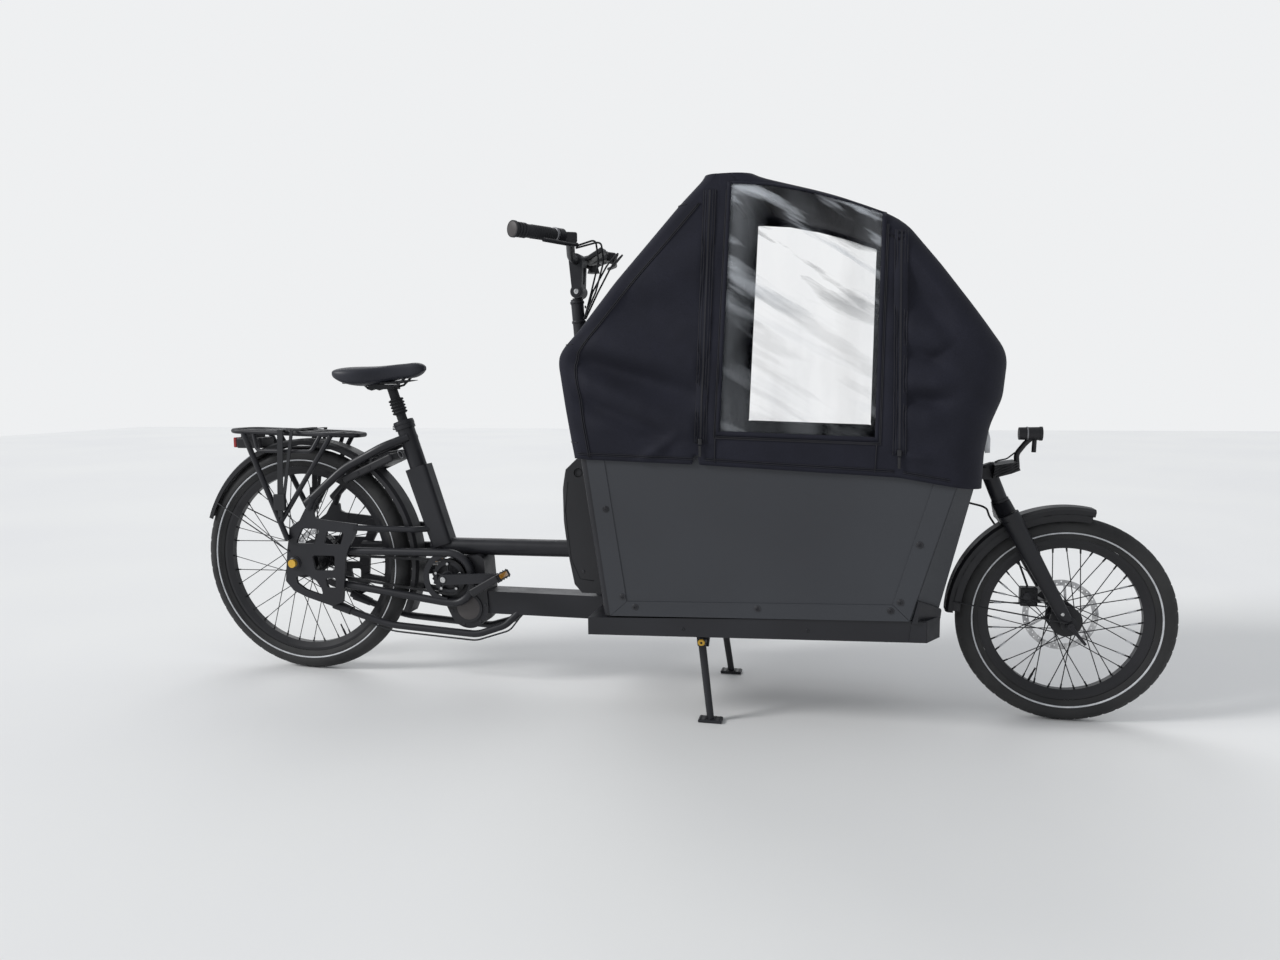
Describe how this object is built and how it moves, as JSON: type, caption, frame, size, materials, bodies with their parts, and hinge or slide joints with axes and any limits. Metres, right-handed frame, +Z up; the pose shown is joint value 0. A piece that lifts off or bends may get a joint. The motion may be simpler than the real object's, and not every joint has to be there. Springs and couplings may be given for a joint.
{
  "type": "electric front-load cargo bike with rain canopy",
  "caption": "Long two-wheeled electric cargo bike: load box ahead of the rider under a rain canopy with clear side windows, mid motor, rear rack, centre stand.",
  "frame": {"origin": "on the ground, below the middle of the overall length", "axes": "+X the riding direction, +Y the rider's left, +Z up"},
  "size_m": [2.699, 0.6946, 1.32],
  "materials": {
    "frame_black": "satin",
    "panel_grey": "satin",
    "tyre": "matte",
    "rim_black": "satin",
    "steel": "brushed",
    "brass": "satin",
    "plastic_black": "matte",
    "saddle_skin": "satin",
    "canvas": "woven",
    "clear_film": "gloss",
    "red_lens": "gloss",
    "rubber": "matte",
    "aluminium": "satin"
  },
  "bodies": {
    "frame": {"head_tube": "frame_black", "rear_mudguard": "plastic_black", "seat_tube": "frame_black", "saddle": "saddle_skin", "seat_post": "rubber", "motor": "plastic_black", "upper_tube": "frame_black", "lower_tube": "frame_black", "handlebar_column": "frame_black", "dropouts": "frame_black", "rear_axle_nuts": "brass", "seat_stays": "frame_black", "level_stays": "frame_black", "chain_guard": "frame_black", "left_chainstays": "frame_black", "low_stays": "frame_black", "ring_lock": "plastic_black", "rack": "frame_black", "rear_light": "red_lens", "rack_straps": "rubber", "right_side_panel": "panel_grey", "left_side_panel": "panel_grey", "box_tray": "frame_black", "box_spine": "frame_black", "box_floor": "panel_grey", "box_rear_wall": "frame_black", "box_front_wall": "panel_grey", "bench": "panel_grey", "battery_case": "plastic_black", "stand_brackets": "frame_black", "head_cover": "plastic_black", "headlamp": "plastic_black", "canopy": "canvas", "windows": "clear_film", "chain": "steel", "low_cable": "rubber", "lamp_cable": "rubber"},
    "rear_wheel_body": {"rear_tyre": "tyre", "rear_wheel": "rim_black", "rear_rotor": "steel"},
    "front_wheel_body": {"front_tyre": "tyre", "front_wheel": "rim_black", "front_rotor": "steel"},
    "fork_body": {"fork": "frame_black", "front_caliper": "aluminium", "front_mudguard": "plastic_black", "front_brake_hose": "rubber"},
    "handlebar_body": {"stem": "frame_black", "handlebar": "frame_black", "grips": "rubber", "brake_levers": "plastic_black", "display": "plastic_black", "bar_cables": "rubber"},
    "crank_body": {"crank": "frame_black"},
    "right_pedal_body": {"right_pedal": "plastic_black"},
    "left_pedal_body": {"left_pedal": "plastic_black"},
    "stand_body": {"stand": "frame_black"}
  },
  "joints": [
    {"name": "rear_wheel_spin", "type": "hinge", "parent": "frame", "child": "rear_wheel_body", "pos_m": [-1.0135, 0, 0.334], "axis": [0, 1, 0], "continuous": true},
    {"name": "steering", "type": "hinge", "parent": "frame", "child": "fork_body", "pos_m": [0.9265, 0, 0.572], "axis": [-0.3746, 0, 0.9272], "range_deg": [-45, 45]},
    {"name": "front_wheel_spin", "type": "hinge", "parent": "fork_body", "child": "front_wheel_body", "pos_m": [1.0935, 0, 0.258], "axis": [0, 1, 0], "continuous": true},
    {"name": "handlebar_turn", "type": "hinge", "parent": "frame", "child": "handlebar_body", "pos_m": [-0.1545, 0, 1.001], "axis": [-0.0802, 0, 0.9968], "range_deg": [-45, 45]},
    {"name": "crank_spin", "type": "hinge", "parent": "frame", "child": "crank_body", "pos_m": [-0.5375, 0, 0.306], "axis": [0, 1, 0], "continuous": true},
    {"name": "right_pedal_spin", "type": "hinge", "parent": "crank_body", "child": "right_pedal_body", "pos_m": [-0.3729, -0.12, 0.31751], "axis": [0, 1, 0], "continuous": true},
    {"name": "left_pedal_spin", "type": "hinge", "parent": "crank_body", "child": "left_pedal_body", "pos_m": [-0.7021, 0.12, 0.29449], "axis": [0, 1, 0], "continuous": true},
    {"name": "stand_fold", "type": "hinge", "parent": "frame", "child": "stand_body", "pos_m": [0.2105, 0, 0.198], "axis": [0, 1, 0], "range_deg": [0, 80]}
  ],
  "couplings": [
    {"joint": "handlebar_turn", "follows": "steering", "ratio": 1}
  ]
}
